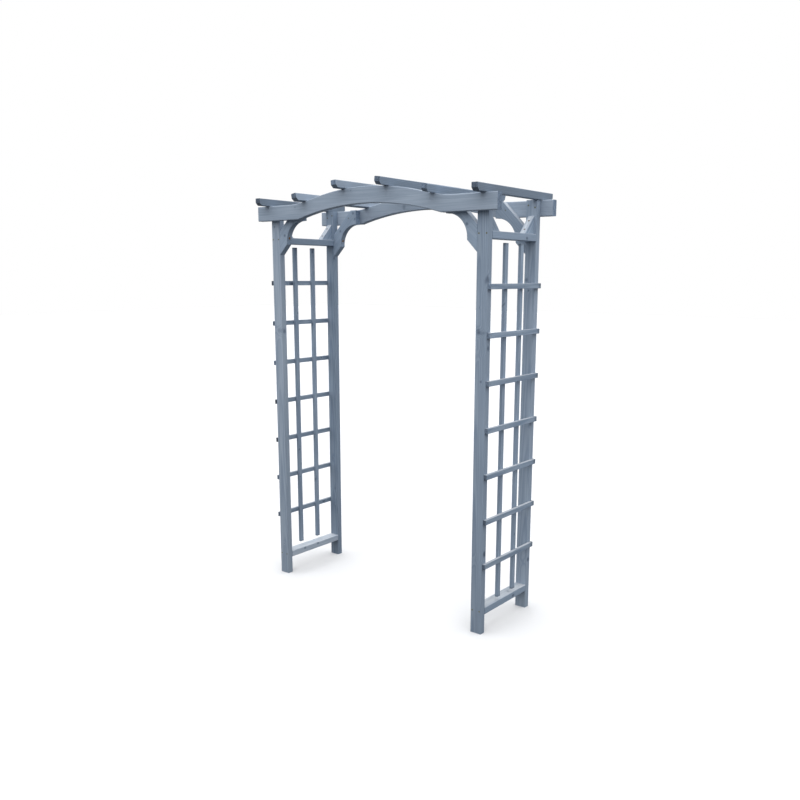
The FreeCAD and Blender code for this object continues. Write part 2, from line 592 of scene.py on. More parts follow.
    def _faded(self, pattern: Pattern) -> Socket:
        """Finds where the stain is faded by sun and rain and lightened with a painted sky sheen: in patches,
        most on faces that look up.

        Args:
            pattern: what it is drawn from.

        Returns:
            0 where the stain is fresh and 1 where it is most faded and carries the most painted sheen.
        """
        tree = pattern.tree
        upright, level = pattern.board.stock.fading
        steep, flat = self.sky_slopes
        # Painted sky sheen, strongest on faces that look up.
        upward = add_node(tree, "ShaderNodeSeparateXYZ", {0: pattern.normal})
        inputs = {"Value": upward.outputs[2], "From Min": steep, "From Max": flat}
        inputs |= {"To Min": upright, "To Max": level}
        sky = add_node(tree, "ShaderNodeMapRange", inputs, interpolation_type="SMOOTHSTEP")
        inputs = {0: pattern.fibres, 1: pattern.blotches}
        worn = add_node(tree, "ShaderNodeMath", inputs, operation="ADD")
        least, most = self.worn_stops
        inputs = {"Value": worn.outputs[0], "From Min": least, "From Max": most, "To Min": self.worn_least}
        patches = add_node(tree, "ShaderNodeMapRange", inputs)
        inputs = {0: sky.outputs[0], 1: patches.outputs[0]}
        return add_node(tree, "ShaderNodeMath", inputs, operation="MULTIPLY").outputs[0]

    def _knot(self, tree: Tree, colour: Socket, span: Socket, knot: Knot) -> Socket:
        """Darkens the core of a knot and, less, the collar of dense wood around it.

        Args:
            tree: the material's node tree.
            colour: the colour so far.
            span: distance from the knot, in its radii.
            knot: the knot.

        Returns:
            The colour with the knot.
        """
        core, collar = self.knot_stops
        inputs = {"Value": span, "From Min": core, "From Max": collar, "To Min": knot.depth, "To Max": 0.0}
        dark = add_node(tree, "ShaderNodeMapRange", inputs, interpolation_type="SMOOTHSTEP")
        inputs = {0: dark.outputs[0], 6: colour, 7: linear(self.knot_hex)}
        return add_node(tree, "ShaderNodeMix", inputs, data_type="RGBA").outputs[2]

    def _end_grain(self, pattern: Pattern, colour: Socket) -> Socket:
        """Darkens the cut ends, where the stain soaked in and the rings show as arcs, and paints shade on
        those that look down.

        Args:
            pattern: what it is drawn from.
            colour: the colour of the long grain.

        Returns:
            The colour everywhere.
        """
        tree, stock = pattern.tree, pattern.board.stock
        inputs = {0: pattern.normal, 1: stock.fibres}
        facing = add_node(tree, "ShaderNodeVectorMath", inputs, operation="DOT_PRODUCT")
        size = add_node(tree, "ShaderNodeMath", {0: facing.outputs["Value"]}, operation="ABSOLUTE")
        begun, full = self.cut_slopes
        inputs = {"Value": size.outputs[0], "From Min": begun, "From Max": full}
        cut = add_node(tree, "ShaderNodeMapRange", inputs, interpolation_type="SMOOTHSTEP")
        inputs = {0: pattern.late, 6: linear(self.end_hex), 7: linear(self.knot_hex)}
        arcs = add_node(tree, "ShaderNodeMix", inputs, data_type="RGBA")
        # Painted shade: cut ends that look down are drawn darker.
        upward = add_node(tree, "ShaderNodeSeparateXYZ", {0: pattern.normal})
        shaded_slope, unshaded_slope = self.damp_slopes
        inputs = {"Value": upward.outputs[2], "From Min": shaded_slope, "From Max": unshaded_slope}
        inputs |= {"To Min": stock.soak * self.damp_tone, "To Max": stock.soak}
        soak_and_underside_shade = add_node(tree, "ShaderNodeMapRange", inputs)
        dull, bright = self.soak_spot_stops
        inputs = {"Value": pattern.spots, "From Min": dull, "From Max": bright}
        inputs |= {"To Min": 1 - self.soak_spot_depth / 2, "To Max": 1 + self.soak_spot_depth / 2}
        uneven = add_node(tree, "ShaderNodeMapRange", inputs)
        inputs = {0: soak_and_underside_shade.outputs[0], 1: uneven.outputs[0]}
        uneven_soak_and_shade = add_node(tree, "ShaderNodeMath", inputs, operation="MULTIPLY")
        inputs = {0: arcs.outputs[2], "Scale": uneven_soak_and_shade.outputs[0]}
        soaked = add_node(tree, "ShaderNodeVectorMath", inputs, operation="SCALE")
        inputs = {0: cut.outputs[0], 6: colour, 7: soaked.outputs[0]}
        return add_node(tree, "ShaderNodeMix", inputs, data_type="RGBA").outputs[2]

    def _shade(self, pattern: Pattern) -> Socket:
        """Adds the brightness of the stain, from streaks, patches, a painted shade towards the ground and
        the whole board.

        Args:
            pattern: what it is drawn from.

        Returns:
            A factor about 1.
        """
        tree, tone = pattern.tree, pattern.board.tone
        least, most = 1 - self.fibre_depth / 2, 1 + self.fibre_depth / 2
        inputs = {"Value": pattern.fibres, "To Min": least, "To Max": most}
        streak = add_node(tree, "ShaderNodeMapRange", inputs)
        least, most = tone - self.blotch_depth / 2, tone + self.blotch_depth / 2
        inputs = {"Value": pattern.blotches, "To Min": least, "To Max": most}
        blotch = add_node(tree, "ShaderNodeMapRange", inputs)
        # Painted shade: the stain is drawn darker towards the ground.
        height = add_node(tree, "ShaderNodeSeparateXYZ", {0: pattern.place})
        inputs = {"Value": height.outputs[2], "From Max": mm(self.splash_top_mm), "To Min": self.splash_tone}
        ground_shade = add_node(tree, "ShaderNodeMapRange", inputs)
        shade = streak.outputs[0]
        for factor in (blotch.outputs[0], ground_shade.outputs[0], *self._bands(pattern)):
            shade = add_node(tree, "ShaderNodeMath", {0: shade, 1: factor}, operation="MULTIPLY").outputs[0]
        return shade

    def _bands(self, pattern: Pattern) -> Iterator[Socket]:
        """Adds the darker bands next to the cut ends, from which the stain has spread.

        Args:
            pattern: what they are drawn from.

        Yields:
            For either end, a factor up to 1, where the board has bands.
        """
        tree, board = pattern.tree, pattern.board
        if board.stock.bands_mm is None:
            return
        inputs = {0: pattern.place, 1: board.middle}
        off = add_node(tree, "ShaderNodeVectorMath", inputs, operation="SUBTRACT")
        inputs = {0: off.outputs[0], 1: board.stock.fibres}
        along = add_node(tree, "ShaderNodeVectorMath", inputs, operation="DOT_PRODUCT")
        half = board.length / 2
        near, far = board.stock.bands_mm
        for end, start in ((-half, mm(near) - half), (half, half - mm(far))):
            inputs = {"Value": along.outputs["Value"], "From Min": end, "From Max": start}
            inputs |= {"To Min": self.band_tone, "To Max": 1.0}
            yield add_node(tree, "ShaderNodeMapRange", inputs, interpolation_type="SMOOTHSTEP").outputs[0]

    def _surface(self, pattern: Pattern, colour: Socket) -> None:
        """Gives the surface its colour, sheen and relief.

        Args:
            pattern: what they are drawn from.
            colour: the colour.
        """
        tree = pattern.tree
        low, high = self.roughness
        inputs = {"Value": pattern.fibres, "To Min": low, "To Max": high}
        rough = add_node(tree, "ShaderNodeMapRange", inputs)
        inputs = {0: pattern.late, 1: self.ring_relief, 2: pattern.fibres}
        raised = add_node(tree, "ShaderNodeMath", inputs, operation="MULTIPLY_ADD")
        inputs = {"Height": raised.outputs[0], "Strength": self.relief, "Distance": mm(self.relief_mm)}
        grain = add_node(tree, "ShaderNodeBump", inputs)
        inputs = {
            "Base Color": colour,
            "Roughness": rough.outputs[0],
            "Normal": grain.outputs[0],
            "IOR": self.ior,
            "Specular IOR Level": self.gloss,
        }
        shader = add_node(tree, "ShaderNodeBsdfPrincipled", inputs)
        add_node(tree, "ShaderNodeOutputMaterial", {"Surface": shader.outputs[0]})


@dataclass(frozen=True)
class PassivatedSteel:
    """Rolled wood screws of steel with a thin yellow passivated skin, dulled outdoors.

    The skin leaves them a matt straw brown, and some have begun to rust.

    Attributes:
        sound_hex: the skin where it is sound.
        worn_hex: the skin where rust comes through.
        spot_mm: size of the rust spots.
        spot_layers: how many finer layers of spots there are.
        spot_levels: level of the spots over which rust shows, on a clean head and a rusty one.
        spot_fade: how far above and below that level the skin turns to rust.
        metallic: how metallic the sound skin and the rust are.
        roughness: roughness of the skin.
        relief_mm: height of the spots.
        relief: how strongly it shows.
    """

    sound_hex: str = "#686A58"
    worn_hex: str = "#65452C"
    spot_mm: float = 2.0
    spot_layers: float = 3.0
    spot_levels: tuple[float, float] = (0.85, 0.15)
    spot_fade: float = 0.12
    metallic: tuple[float, float] = (0.9, 0.2)
    roughness: float = 0.48
    relief_mm: float = 0.1
    relief: float = 0.3

    def material(self, name: str, rust: float) -> bpy.types.Material:
        """Makes the finish of a group of screws.

        Args:
            name: name of the material.
            rust: share of the heads that rust covers.

        Returns:
            The material.
        """
        made = bpy.data.materials.new(name)
        tree = empty_tree(made)
        place = add_node(tree, "ShaderNodeTexCoord").outputs["Object"]
        inputs = {"Vector": place, "Scale": 1 / mm(self.spot_mm), "Detail": self.spot_layers}
        spots = add_node(tree, "ShaderNodeTexNoise", inputs).outputs[0]
        clean, rusty = self.spot_levels
        level = clean + (rusty - clean) * rust
        inputs = {"Value": spots, "From Min": level - self.spot_fade, "From Max": level + self.spot_fade}
        rusted = add_node(tree, "ShaderNodeMapRange", inputs).outputs[0]
        inputs = {0: rusted, 6: linear(self.sound_hex), 7: linear(self.worn_hex)}
        colour = add_node(tree, "ShaderNodeMix", inputs, data_type="RGBA")
        sound, worn = self.metallic
        bare = add_node(tree, "ShaderNodeMapRange", {"Value": rusted, "To Min": sound, "To Max": worn})
        inputs = {"Height": spots, "Strength": self.relief, "Distance": mm(self.relief_mm)}
        pitted = add_node(tree, "ShaderNodeBump", inputs)
        inputs = {
            "Base Color": colour.outputs[2],
            "Metallic": bare.outputs[0],
            "Roughness": self.roughness,
            "Normal": pitted.outputs[0],
        }
        shader = add_node(tree, "ShaderNodeBsdfPrincipled", inputs)
        add_node(tree, "ShaderNodeOutputMaterial", {"Surface": shader.outputs[0]})
        return made


def add_piece(
    name: str, mesh: bmesh.types.BMesh, material: bpy.types.Material
) -> bpy.types.Object:
    """Makes a shaded piece that rides on the frame.

    Args:
        name: name of the piece.
        mesh: its mesh in place, which is used up.
        material: its finish.

    Returns:
        The piece.
    """
    bmesh.ops.recalc_face_normals(mesh, faces=mesh.faces)
    data = bpy.data.meshes.new(name)
    mesh.to_mesh(data)
    mesh.free()
    data.materials.append(material)
    data.shade_smooth()
    piece = bpy.data.objects.new(name, data)
    bpy.context.scene.collection.objects.link(piece)
    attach(piece, BODY)
    log.info("made %s with %d faces", name, len(data.polygons))
    return piece


def prism(outline: Sequence[Vector], push: Vector) -> bmesh.types.BMesh:
    """Sweeps a flat outline along a vector.

    Args:
        outline: corners in order.
        push: how far and which way it is swept.

    Returns:
        The closed mesh.
    """
    mesh = bmesh.new()
    near = [mesh.verts.new(corner) for corner in outline]
    far = [mesh.verts.new(corner + push) for corner in outline]
    mesh.faces.new(near)
    mesh.faces.new(far)
    for place in range(len(near)):
        after = (place + 1) % len(near)
        mesh.faces.new((near[place], near[after], far[after], far[place]))
    return mesh


def ease(piece: bpy.types.Object, radius_mm: float, steps: int = 3, sharp_deg: float = 25.0) -> None:
    """Rounds off the arrises of a piece, as sandpaper does.

    Args:
        piece: the piece.
        radius_mm: radius of the rounding.
        steps: faces across it.
        sharp_deg: how far an edge must bend to be an arris.
    """
    rounding = piece.modifiers.new("eased_arrises", "BEVEL")
    rounding.width = mm(radius_mm)
    rounding.segments = steps
    rounding.limit_method = "ANGLE"
    rounding.angle_limit = math.radians(sharp_deg)
    rounding.harden_normals = True


@dataclass(frozen=True)
class Timbers:
    """The timbers whose shape is that of their solid, such as posts, and get only their finish.

    Attributes:
        stocks: the kind of timber of each node, by its name.
        knots: the knots that are known on a node, by its name.
    """

    stocks: dict[str, Stock]
    knots: dict[str, tuple[Knot, ...]]

    def dress(self, mill: Sawmill, finish: StainedSoftwood) -> None:
        """Gives each timber its own board and finish.

        Args:
            mill: cuts the boards.
            finish: the stain.
        """
        for name, stock in self.stocks.items():
            board = mill.board(name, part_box(name), stock, self.knots.get(name, ()))
            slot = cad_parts[name].material_slots[0]
            slot.link = "OBJECT"
            slot.material = finish.material(f"stained_{name}", board)
            log.info("dressed %s with %d knots", name, len(board.knots))


@dataclass(frozen=True)
class KneeBrace:
    """One knee brace, sawn from a board at 45 degrees, with a round scoop in its lower edge.

    Attributes:
        side: the side of the walkway.
        end: the end of the walkway.
        knots: its known knots.
        tone: how bright the stain dried on it, as a factor.
        soak: how bright its end grain dried, as a factor.
        figure: how strongly its rings show.
        fading: how far its upright faces and those that look up are faded and lightened with a painted sky
            sheen.
        board_width_mm: width of the board that it is cut from.
        scoop_radius_mm: radius of the scoop.
        scoop_margin_mm: length of the flats on either side of the scoop.
        scoop_steps: faces around the scoop.
        eased_mm: radius of the arrises.
    """

    side: Side
    end: End
    knots: tuple[Knot, ...] = ()
    tone: float = 1.0
    soak: float = 1.0
    figure: float = 0.6
    fading: tuple[float, float] = (0.05, 0.7)
    board_width_mm: float = 83.0
    scoop_radius_mm: float = 107.0
    scoop_margin_mm: float = 9.0
    scoop_steps: int = 28
    eased_mm: float = 1.6

    @property
    def name(self) -> str:
        """Name of its node."""
        return f"brace_{self.end.word}_{self.side.word}"

    def scoop_centre(self) -> Vector:
        """Finds the middle of the circle that the scoop follows.

        Returns:
            The place, halfway through the brace's thickness.
        """
        low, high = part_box(self.name)
        tip_x, post_x = spread(low.x, high.x, self.side)
        x = tip_x + self.side.value * mm(self.scoop_margin_mm)
        z = low.z + abs(post_x - tip_x) - mm(self.scoop_radius_mm)
        return Vector((x, (low.y + high.y) / 2, z))

    def outline(self) -> list[Vector]:
        """Draws its outline on its near face, from the foot on the post by way of the top.

        Returns:
            The corners in order.
        """
        low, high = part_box(self.name)
        tip_x, post_x = spread(low.x, high.x, self.side)
        sign, centre = self.side.value, self.scoop_centre()
        radius, margin = mm(self.scoop_radius_mm), mm(self.scoop_margin_mm)
        shoulder = low.z + mm(self.board_width_mm) * math.sqrt(2)
        corners = [
            (post_x, low.z),
            (post_x, shoulder),
            (post_x - sign * (high.z - shoulder), high.z),
            (tip_x, high.z),
            (tip_x, centre.z + radius),
        ]
        for step in range(self.scoop_steps + 1):
            turn = math.pi / 2 * (1 - step / self.scoop_steps)
            corners.append((centre.x + sign * radius * math.cos(turn), centre.z + radius * math.sin(turn)))
        corners.append((centre.x + sign * radius, centre.z - margin))
        return [Vector((x, low.y, z)) for x, z in corners]

    def build(self, mill: Sawmill, finish: StainedSoftwood) -> bpy.types.Object:
        """Makes the brace in place of its solid.

        Args:
            mill: cuts its board.
            finish: the stain.

        Returns:
            The brace.
        """
        low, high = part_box(self.name)
        fibres = Vector((-self.side.value, 0.0, 1.0)).normalized()
        stock = Stock(fibres, BACKWARDS, self.tone, self.figure, self.soak, self.fading)
        board = mill.board(self.name, (low, high), stock, self.knots)
        mesh = prism(self.outline(), BACKWARDS * (high.y - low.y))
        name = f"curved_{self.name}"
        piece = add_piece(name, mesh, finish.material(f"stained_{name}", board))
        ease(piece, self.eased_mm)
        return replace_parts(piece, self.name)


@dataclass(frozen=True)
class Gusset:
    """One triangular block in the corner of an upper rail and a post.

    Attributes:
        side: the side of the walkway.
        end: the end of the walkway.
        tone: how bright the stain dried on it, as a factor.
        fading: how far its upright faces and those that look up are faded and lightened with a painted sky
            sheen.
        eased_mm: radius of the arrises.
    """

    side: Side
    end: End
    tone: float = 1.0
    fading: tuple[float, float] = (0.0, 0.8)
    eased_mm: float = 1.6

    @property
    def name(self) -> str:
        """Name of its node."""
        return f"gusset_{self.end.word}_{self.side.word}"

    def slope(self) -> tuple[Vector, Vector]:
        """Finds the middle line of its sloping face.

        Returns:
            Its lower and its upper end.
        """
        low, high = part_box(self.name)
        x = (low.x + high.x) / 2
        toe_y, post_y = spread(low.y, high.y, self.end)
        return Vector((x, toe_y, low.z)), Vector((x, post_y, high.z))

    def build(self, mill: Sawmill, finish: StainedSoftwood) -> bpy.types.Object:
        """Makes the block in place of its solid.

        Args:
            mill: cuts its board.
            finish: the stain.

        Returns:
            The block.
        """
        low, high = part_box(self.name)
        toe, peak = self.slope()
        corner = Vector((toe.x, peak.y, toe.z))
        half = ACROSS * (high.x - low.x) / 2
        mesh = prism([toe - half, peak - half, corner - half], half * 2)
        stock = Stock((peak - toe).normalized(), ACROSS, tone=self.tone, fading=self.fading)
        board = mill.board(self.name, (low, high), stock)
        name = f"corner_{self.name}"
        piece = add_piece(name, mesh, finish.material(f"stained_{name}", board))
        ease(piece, self.eased_mm)
        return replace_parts(piece, self.name)


@dataclass(frozen=True)
class Lattice:
    """The lattice of one side: level laths nailed to the posts, and upright laths behind them.

    Attributes:
        side: the side of the walkway.
        soaks: brightness of the end grain of each level lath, from the lowest, as a factor.
        knots: the knots that are known on a lath, by its name.
        level_stock: the kind of timber of the level laths.
        upright_stock: the kind of timber of the upright laths.
        lath_width_mm: width of a lath.
        level_count: number of level laths.
        lowest_gap_mm: gap between the bottom rail and the lowest level lath.
        highest_gap_mm: gap between the highest level lath and the upper rail.
        upright_count: number of upright laths.
        saw_error_mm: how much shorter than the rest a level lath may be at an end.
        eased_mm: radius of the arrises.
    """

    side: Side
    soaks: Sequence[float] = (1.0,) * 7
    knots: dict[str, tuple[Knot, ...]] = field(default_factory=dict)
    level_stock: Stock = Stock(BACKWARDS, ACROSS, tone=0.96, figure=1.3, bands_mm=(8.0, 34.0))
    upright_stock: Stock = Stock(UP, ACROSS, soak=0.6, bands_mm=(12.0, 14.0))
    lath_width_mm: float = 24.0
    level_count: int = 7
    lowest_gap_mm: float = 200.0
    highest_gap_mm: float = 192.5
    upright_count: int = 2
    saw_error_mm: float = 1.5
    eased_mm: float = 1.3

    @property
    def name(self) -> str:
        """Name of its node."""
        return f"lattice_{self.side.word}"

    def layers(self) -> tuple[list[float], list[float]]:
        """Finds how far out the two layers of laths lie.

        Returns:
            The lowest and highest X of the level laths, and those of the upright laths.
        """
        low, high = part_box(self.name)
        middle = (low.x + high.x) / 2
        inner, outer = spread(low.x, high.x, self.side)
        return sorted((middle, outer)), sorted((inner, middle))

    def level_heights(self) -> list[float]:
        """Spaces the level laths evenly between the rails.

        Returns:
            Height of the lower edge of each, from the lowest.
        """
        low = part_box(f"bottom_rail_{self.side.word}")[1].z + mm(self.lowest_gap_mm)
        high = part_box(f"upper_rail_{self.side.word}")[0].z - mm(self.highest_gap_mm + self.lath_width_mm)
        pitch = (high - low) / (self.level_count - 1)
        return [low + number * pitch for number in range(self.level_count)]

    def upright_places(self) -> list[float]:
        """Spaces the upright laths evenly between the posts.

        Returns:
            Y of the front edge of each, from the front.
        """
        low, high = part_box(f"upper_rail_{self.side.word}")
        width = mm(self.lath_width_mm)
        gap = (high.y - low.y - self.upright_count * width) / (self.upright_count + 1)
        return [low.y + gap + number * (gap + width) for number in range(self.upright_count)]

    def laths(self) -> Iterator[tuple[str, Vector, Vector, Stock]]:
        """Saws the laths to length.

        Yields:
            Name, lowest and highest corner and kind of timber of each.
        """
        low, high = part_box(self.name)
        level, upright = self.layers()
        width = mm(self.lath_width_mm)
        dice = random.Random(self.name)
        for number, (height, soak) in enumerate(zip(self.level_heights(), self.soaks), 1):
            front = low.y + mm(dice.uniform(0, self.saw_error_mm))
            back = high.y - mm(dice.uniform(0, self.saw_error_mm))
            corners = Vector((level[0], front, height)), Vector((level[1], back, height + width))
            stock = replace(self.level_stock, soak=soak)
            yield f"level_lath_{self.side.word}_{number}", *corners, stock
        for number, place in enumerate(self.upright_places(), 1):
            corners = Vector((upright[0], place, low.z)), Vector((upright[1], place + width, high.z))
            yield f"upright_lath_{self.side.word}_{number}", *corners, self.upright_stock

    def build(self, mill: Sawmill, finish: StainedSoftwood) -> None:
        """Makes the laths in place of the lattice's solid.

        Args:
            mill: cuts their boards.
            finish: the stain.
        """
        for name, low, high, stock in self.laths():
            foot = [(low.x, low.y), (high.x, low.y), (high.x, high.y), (low.x, high.y)]
            mesh = prism([Vector((x, y, low.z)) for x, y in foot], UP * (high.z - low.z))
            board = mill.board(name, (low, high), stock, self.knots.get(name, ()))
            piece = add_piece(name, mesh, finish.material(f"stained_{name}", board))
            ease(piece, self.eased_mm)
            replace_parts(piece, self.name)


@dataclass(frozen=True)
class Screw:
    """Shape of a screw's or nail's head.

    Attributes:
        radius_mm: radius of the head.
        height_mm: how far it stands proud.
        recess_mm: mean radius of the driver's recess, or 0 on a nail.
        lobes: lobes of the recess.
        lobe_depth: depth of the lobes as a share of the recess's radius.
        dome: profile of the head from the rim inwards, as shares of its radius and height.
        recess: profile of the recess inwards, as shares of its radius, of the head's height
            and of the depth of the lobes.
        steps: faces around it.
    """

    radius_mm: float = 4.0
    height_mm: float = 0.9
    recess_mm: float = 1.8
    lobes: int = 6
    lobe_depth: float = 0.16
    dome: Sequence[tuple[float, float]] = ((1.0, 0.0), (1.0, 0.45), (0.9, 0.85), (0.72, 1.0))
    recess: Sequence[tuple[float, float, float]] = ((1.0, 1.0, 1.0), (0.94, 0.15, 1.0), (0.3, 0.1, 0.0))
    steps: int = 36

    def profile(self) -> Iterator[tuple[float, float, float]]:
        """Draws the head from the rim to the middle.

        Yields:
            Mean radius, height and depth of the lobes of each ring, in millimetres.
        """
        for share, rise in self.dome:
            yield self.radius_mm * share, self.height_mm * rise, 0.0
        if self.recess_mm:
            depth = self.recess_mm * self.lobe_depth
            for share, rise, lobed in self.recess:
                yield self.recess_mm * share, self.height_mm * rise, depth * lobed

    def add(self, mesh: bmesh.types.BMesh, place: Vector, out: Vector) -> None:
        """Adds one head to a mesh.

        Args:
            mesh: the mesh.
            place: middle of the head on the timber's face.
            out: normal of that face.
        """
        side = out.orthogonal().normalized()
        other = out.cross(side)
        loops = []
        for mean, height, depth in self.profile():
            loop = []
            for step in range(self.steps):
                turn = math.tau * step / self.steps
                radius = mm(mean + depth * math.cos(self.lobes * turn))
                flat = side * math.cos(turn) + other * math.sin(turn)
                loop.append(mesh.verts.new(place + flat * radius + out * mm(height)))
            loops.append(loop)
        for outer, inner in zip(loops, loops[1:]):
            for step in range(self.steps):
                after = (step + 1) % self.steps
                mesh.faces.new((outer[step], outer[after], inner[after], inner[step]))
        mesh.faces.new(loops[0][::-1])
        mesh.faces.new(loops[-1])


@dataclass(frozen=True)
class Fixings:
    """The screws and nails that show on the faces of the timbers.

    Attributes:
        screw: head of a wood screw.
        sunk: head of a wood screw that is driven in almost flush.
        coach: head of the stout screw in the heel of a brace.
        small: head of the screw in the tip of a brace.
        nail: head of a lath nail.
        rail_spread_mm: distance of a rail's two screws from the middle of the post.
        rail_drop_mm: how far they lie below the top of the rail.
        beam_spread_mm: distance of a beam's two screws from the middle of the post.
        beam_drops_mm: how far each lies below the top of the post.
        gusset_shares: where a gusset's screws lie along its slope.
        brace_tip_mm: how far a brace's upper screw lies from its tip and below its top.
        brace_heel_mm: how far its lower screw lies above its foot.
    """

    screw: Screw = Screw()
    sunk: Screw = Screw(height_mm=0.35)
    coach: Screw = Screw(radius_mm=6.5, height_mm=1.2, recess_mm=3.2)
    small: Screw = Screw(radius_mm=3.0, height_mm=0.6, recess_mm=1.3)
    nail: Screw = Screw(radius_mm=1.8, height_mm=0.4, recess_mm=0.0, steps=20)
    rail_spread_mm: float = 20.0
    rail_drop_mm: float = 11.0
    beam_spread_mm: float = 18.0
    beam_drops_mm: tuple[float, float] = (24.0, 35.0)
    gusset_shares: tuple[float, float] = (0.24, 0.72)
    brace_tip_mm: tuple[float, float] = (55.0, 41.0)
    brace_heel_mm: float = 84.0

    def rail_screws(self) -> Iterator[tuple[Vector, Vector]]:
        """Places the screws through the posts into the ends of the rails.

        Yields:
            Place and normal of each.
        """
        for side, end in CORNERS:
            low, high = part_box(f"post_{end.word}_{side.word}")
            _, face = spread(low.y, high.y, end)
            for rail in ("upper_rail", "bottom_rail"):
                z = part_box(f"{rail}_{side.word}")[1].z - mm(self.rail_drop_mm)
                for aside in (-self.rail_spread_mm, self.rail_spread_mm):
                    yield Vector(((low.x + high.x) / 2 + mm(aside), face, z)), BACKWARDS * end.value

    def beam_screws(self) -> Iterator[tuple[Vector, Vector]]:
        """Places the screws through the posts into the beams.

        Yields:
            Place and normal of each.
        """
        for side, end in CORNERS:
            low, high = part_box(f"post_{end.word}_{side.word}")
            face, _ = spread(low.y, high.y, end)
            for aside, drop in zip((-self.beam_spread_mm, self.beam_spread_mm), self.beam_drops_mm):
                x = (low.x + high.x) / 2 + side.value * mm(aside)
                yield Vector((x, face, high.z - mm(drop))), BACKWARDS * -end.value

    def tip_screws(self) -> Iterator[tuple[Vector, Vector]]:
        """Places the screws through the braces' tips into the beams.

        Yields:
            Place and normal of each.
        """
        along, down = self.brace_tip_mm
        for side, end in CORNERS:
            low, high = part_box(f"brace_{end.word}_{side.word}")
            face, _ = spread(low.y, high.y, end)
            tip, _ = spread(low.x, high.x, side)
            yield Vector((tip + side.value * mm(along), face, high.z - mm(down))), BACKWARDS * -end.value

    def heel_screws(self) -> Iterator[tuple[Vector, Vector]]:
        """Places the screws through the braces' scoops into the posts.

        Yields:
            Place and normal of each.
        """
        for side, end in CORNERS:
            brace = KneeBrace(side, end)
            centre, radius = brace.scoop_centre(), mm(brace.scoop_radius_mm)
            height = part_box(brace.name)[0].z + mm(self.brace_heel_mm)
            turn = math.asin((height - centre.z) / radius)
            out = Vector((-side.value * math.cos(turn), 0.0, -math.sin(turn)))
            yield centre - out * radius, out

    def gusset_screws(self) -> Iterator[tuple[Vector, Vector]]:
        """Places the screws through the sloping faces of the gussets.

        Yields:
            Place and normal of each.
        """
        for side, end in CORNERS:
            toe, peak = Gusset(side, end).slope()
            run = peak - toe
            out = Vector((0.0, -end.value * run.z, abs(run.y))).normalized()
            for share in self.gusset_shares:
                yield toe + run * share, out

    def rafter_screws(self) -> Iterator[tuple[Vector, Vector]]:
        """Places the screws down through the rafters into the beams.

        Yields:
            Place and normal of each.
        """
        for name in RAFTERS:
            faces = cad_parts[name].data.polygons
            top = max(faces, key=lambda face: face.area * face.normal.z)
            for beam in ("beam_front", "beam_back"):
                near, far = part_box(beam)
                yield Vector((top.center.x, (near.y + far.y) / 2, top.center.z)), top.normal.copy()

    def nails(self) -> Iterator[tuple[Vector, Vector]]:
        """Places the nails through the level laths into the posts and the upright laths.

        Yields:
            Place and normal of each.
        """
        for side in Side:
            lattice = Lattice(side)
            _, face = spread(*lattice.layers()[0], side)
            half = mm(lattice.lath_width_mm) / 2
            places = [place + half for place in lattice.upright_places()]
            for end in End:
                low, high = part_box(f"post_{end.word}_{side.word}")
                places.append((low.y + high.y) / 2)
            for height in lattice.level_heights():
                for place in places:
                    yield Vector((face, place, height + half)), ACROSS * side.value

    def build(self, steel: PassivatedSteel) -> None:
        """Makes each group of heads as one piece.

        Args:
            steel: their finish.
        """
        groups = (
            ("rail_screws", self.screw, self.rail_screws, 0.15),
            ("beam_screws", self.screw, self.beam_screws, 0.15),
            ("brace_tip_screws", self.small, self.tip_screws, 0.15),
            ("brace_heel_screws", self.coach, self.heel_screws, 0.65),
            ("gusset_screws", self.screw, self.gusset_screws, 0.5),
            ("rafter_screws", self.sunk, self.rafter_screws, 0.3),
            ("lath_nails", self.nail, self.nails, 0.4),
        )
        for name, head, places, rust in groups:
            mesh = bmesh.new()
            for place, out in places():
                head.add(mesh, place, out)
            add_piece(name, mesh, steel.material(f"steel_{name}", rust))


